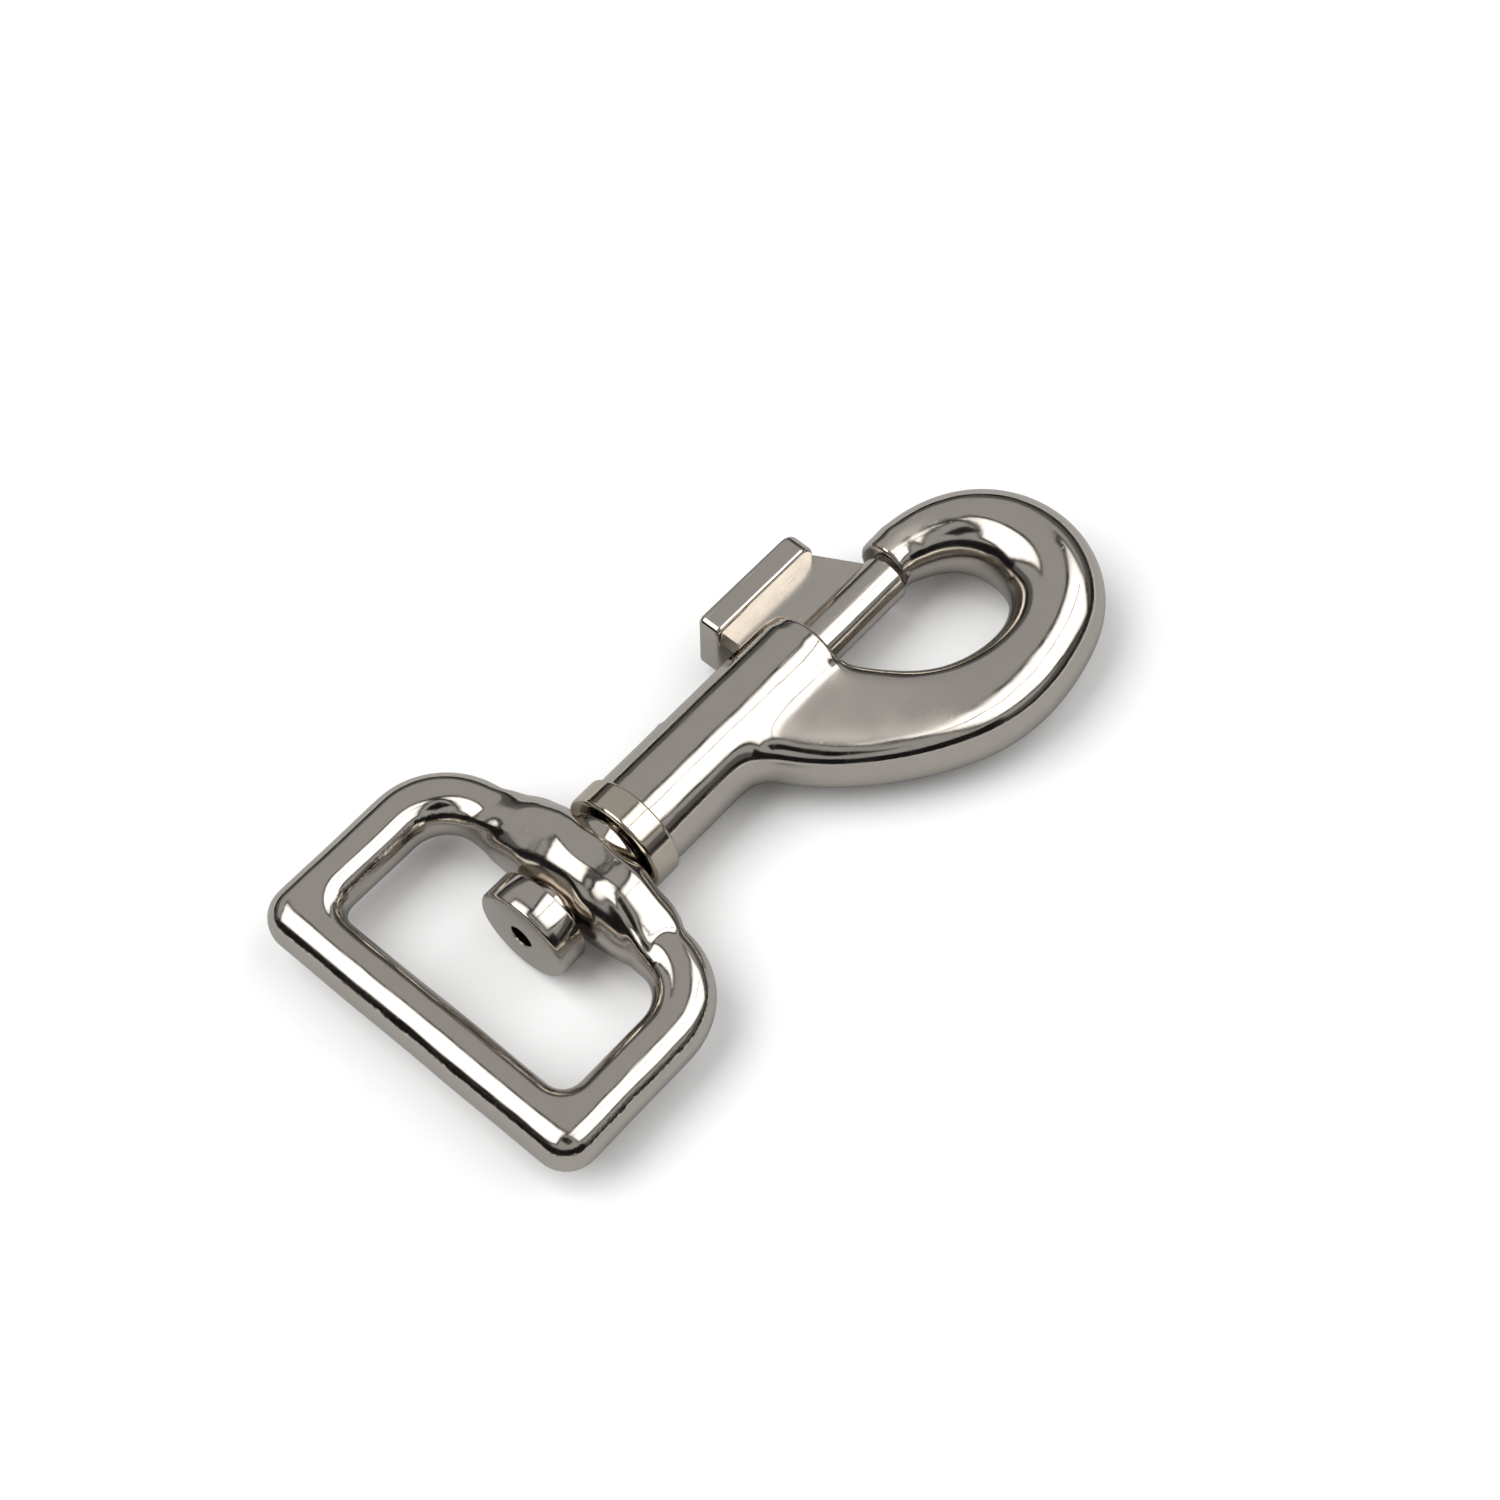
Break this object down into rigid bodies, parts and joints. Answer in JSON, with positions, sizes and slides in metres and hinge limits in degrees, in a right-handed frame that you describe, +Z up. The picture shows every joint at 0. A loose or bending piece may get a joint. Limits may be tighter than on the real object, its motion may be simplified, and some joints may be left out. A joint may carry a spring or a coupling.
{
  "type": "swivel snap hook",
  "caption": "Polished metal swivel snap hook with a crescent hook closed by a sliding spring bolt and a rectangular strap eye.",
  "frame": {"origin": "middle of the strap bar, on the swivel axis", "axes": "+X along the swivel axis from the strap bar towards the crown of the hook, +Y towards the thumb piece, +Z up with the snap lying on its side"},
  "size_m": [0.0754, 0.0371, 0.01],
  "materials": {
    "polished_nickel": "polished nickel plating on a zinc casting",
    "satin_nickel": "nickel plating, slightly duller on the flat faces",
    "collar_nickel": "nickel plating with a warm tint",
    "spring_steel": "plain drawn wire"
  },
  "bodies": {
    "hook": {"hook_body": "polished_nickel", "end_collar": "collar_nickel", "swivel_post": "polished_nickel", "bolt_spring": "spring_steel"},
    "bolt": {"bolt": "satin_nickel"},
    "eye": {"swivel_eye": "polished_nickel"}
  },
  "joints": [
    {"name": "bolt_slide", "type": "slide", "parent": "hook", "child": "bolt", "axis": [-1, 0, 0], "range_m": [0, 0.009], "stiffness_N_per_m": 350, "springref_m": -0.006, "deforming": ["bolt_spring"]},
    {"name": "eye_swivel", "type": "hinge", "parent": "hook", "child": "eye", "pos_m": [0.0186, 0, 0], "axis": [1, 0, 0], "continuous": true}
  ]
}
